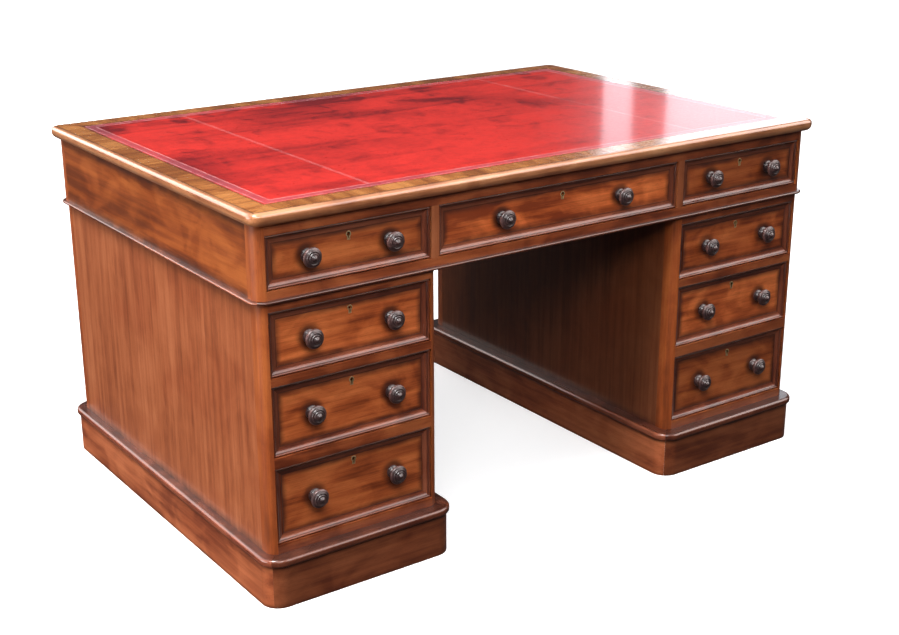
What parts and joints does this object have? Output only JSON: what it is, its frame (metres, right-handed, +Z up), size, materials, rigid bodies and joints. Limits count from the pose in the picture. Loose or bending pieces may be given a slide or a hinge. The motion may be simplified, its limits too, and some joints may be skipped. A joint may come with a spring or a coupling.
{
  "type": "writing desk with drawers",
  "caption": "Free-standing mahogany partners' pedestal desk with a leather-lined top and moulded drawers with turned knobs on both long sides.",
  "frame": {"origin": "on the floor under the middle of the desk", "axes": "+X along the desk to the right of the user at the front, -Y out of the front drawers towards that user, +Z up"},
  "size_m": [1.417, 0.954, 0.762],
  "materials": {
    "polished_mahogany": "French-polished mahogany, glossy",
    "drawer_lining": "waxed oak drawer lining, satin",
    "carcass_pine": "plain stained pine, matt",
    "red_leather": "waxed hide with gilt tooling, semi-gloss",
    "lock_brass": "aged brass, satin",
    "knob_wood": "dark turned mahogany, polished"
  },
  "bodies": {
    "root": {"frieze_ends": "polished_mahogany", "frieze_partitions": "polished_mahogany", "frieze_rails": "polished_mahogany", "frieze_runners": "carcass_pine", "kneehole_soffit": "polished_mahogany", "left_pedestal_sides": "polished_mahogany", "pedestal_boards": "carcass_pine", "pedestal_rails": "polished_mahogany", "plinth_caps": "polished_mahogany", "plinths": "polished_mahogany", "right_pedestal_sides": "polished_mahogany", "top_border": "polished_mahogany", "top_panel": "carcass_pine", "waist_moulding": "polished_mahogany", "writing_leather": "red_leather"},
    "front_frieze_middle_drawer": {"front_frieze_middle_box": "drawer_lining", "front_frieze_middle_face": "polished_mahogany", "front_frieze_middle_lock": "lock_brass"},
    "front_frieze_left_drawer": {"front_frieze_left_box": "drawer_lining", "front_frieze_left_face": "polished_mahogany", "front_frieze_left_lock": "lock_brass"},
    "front_left_upper_drawer": {"front_left_upper_box": "drawer_lining", "front_left_upper_face": "polished_mahogany", "front_left_upper_lock": "lock_brass"},
    "front_left_middle_drawer": {"front_left_middle_box": "drawer_lining", "front_left_middle_face": "polished_mahogany", "front_left_middle_lock": "lock_brass"},
    "front_left_lower_drawer": {"front_left_lower_box": "drawer_lining", "front_left_lower_face": "polished_mahogany", "front_left_lower_lock": "lock_brass"},
    "front_frieze_right_drawer": {"front_frieze_right_box": "drawer_lining", "front_frieze_right_face": "polished_mahogany", "front_frieze_right_lock": "lock_brass"},
    "front_right_upper_drawer": {"front_right_upper_box": "drawer_lining", "front_right_upper_face": "polished_mahogany", "front_right_upper_lock": "lock_brass"},
    "front_right_middle_drawer": {"front_right_middle_box": "drawer_lining", "front_right_middle_face": "polished_mahogany", "front_right_middle_lock": "lock_brass"},
    "front_right_lower_drawer": {"front_right_lower_box": "drawer_lining", "front_right_lower_face": "polished_mahogany", "front_right_lower_lock": "lock_brass"},
    "rear_frieze_middle_drawer": {"rear_frieze_middle_box": "drawer_lining", "rear_frieze_middle_face": "polished_mahogany"},
    "rear_frieze_left_drawer": {"rear_frieze_left_box": "drawer_lining", "rear_frieze_left_face": "polished_mahogany"},
    "rear_left_upper_drawer": {"rear_left_upper_box": "drawer_lining", "rear_left_upper_face": "polished_mahogany"},
    "rear_left_middle_drawer": {"rear_left_middle_box": "drawer_lining", "rear_left_middle_face": "polished_mahogany"},
    "rear_left_lower_drawer": {"rear_left_lower_box": "drawer_lining", "rear_left_lower_face": "polished_mahogany"},
    "rear_frieze_right_drawer": {"rear_frieze_right_box": "drawer_lining", "rear_frieze_right_face": "polished_mahogany"},
    "rear_right_upper_drawer": {"rear_right_upper_box": "drawer_lining", "rear_right_upper_face": "polished_mahogany"},
    "rear_right_middle_drawer": {"rear_right_middle_box": "drawer_lining", "rear_right_middle_face": "polished_mahogany"},
    "rear_right_lower_drawer": {"rear_right_lower_box": "drawer_lining", "rear_right_lower_face": "polished_mahogany"}
  },
  "joints": [
    {"name": "front_frieze_middle_slide", "type": "slide", "parent": "root", "child": "front_frieze_middle_drawer", "axis": [0, -1, 0], "range_m": [0, 0.3]},
    {"name": "front_frieze_left_slide", "type": "slide", "parent": "root", "child": "front_frieze_left_drawer", "axis": [0, -1, 0], "range_m": [0, 0.3]},
    {"name": "front_left_upper_slide", "type": "slide", "parent": "root", "child": "front_left_upper_drawer", "axis": [0, -1, 0], "range_m": [0, 0.3]},
    {"name": "front_left_middle_slide", "type": "slide", "parent": "root", "child": "front_left_middle_drawer", "axis": [0, -1, 0], "range_m": [0, 0.3]},
    {"name": "front_left_lower_slide", "type": "slide", "parent": "root", "child": "front_left_lower_drawer", "axis": [0, -1, 0], "range_m": [0, 0.3]},
    {"name": "front_frieze_right_slide", "type": "slide", "parent": "root", "child": "front_frieze_right_drawer", "axis": [0, -1, 0], "range_m": [0, 0.3]},
    {"name": "front_right_upper_slide", "type": "slide", "parent": "root", "child": "front_right_upper_drawer", "axis": [0, -1, 0], "range_m": [0, 0.3]},
    {"name": "front_right_middle_slide", "type": "slide", "parent": "root", "child": "front_right_middle_drawer", "axis": [0, -1, 0], "range_m": [0, 0.3]},
    {"name": "front_right_lower_slide", "type": "slide", "parent": "root", "child": "front_right_lower_drawer", "axis": [0, -1, 0], "range_m": [0, 0.3]},
    {"name": "rear_frieze_middle_slide", "type": "slide", "parent": "root", "child": "rear_frieze_middle_drawer", "axis": [0, 1, 0], "range_m": [0, 0.3]},
    {"name": "rear_frieze_left_slide", "type": "slide", "parent": "root", "child": "rear_frieze_left_drawer", "axis": [0, 1, 0], "range_m": [0, 0.3]},
    {"name": "rear_left_upper_slide", "type": "slide", "parent": "root", "child": "rear_left_upper_drawer", "axis": [0, 1, 0], "range_m": [0, 0.3]},
    {"name": "rear_left_middle_slide", "type": "slide", "parent": "root", "child": "rear_left_middle_drawer", "axis": [0, 1, 0], "range_m": [0, 0.3]},
    {"name": "rear_left_lower_slide", "type": "slide", "parent": "root", "child": "rear_left_lower_drawer", "axis": [0, 1, 0], "range_m": [0, 0.3]},
    {"name": "rear_frieze_right_slide", "type": "slide", "parent": "root", "child": "rear_frieze_right_drawer", "axis": [0, 1, 0], "range_m": [0, 0.3]},
    {"name": "rear_right_upper_slide", "type": "slide", "parent": "root", "child": "rear_right_upper_drawer", "axis": [0, 1, 0], "range_m": [0, 0.3]},
    {"name": "rear_right_middle_slide", "type": "slide", "parent": "root", "child": "rear_right_middle_drawer", "axis": [0, 1, 0], "range_m": [0, 0.3]},
    {"name": "rear_right_lower_slide", "type": "slide", "parent": "root", "child": "rear_right_lower_drawer", "axis": [0, 1, 0], "range_m": [0, 0.3]}
  ]
}
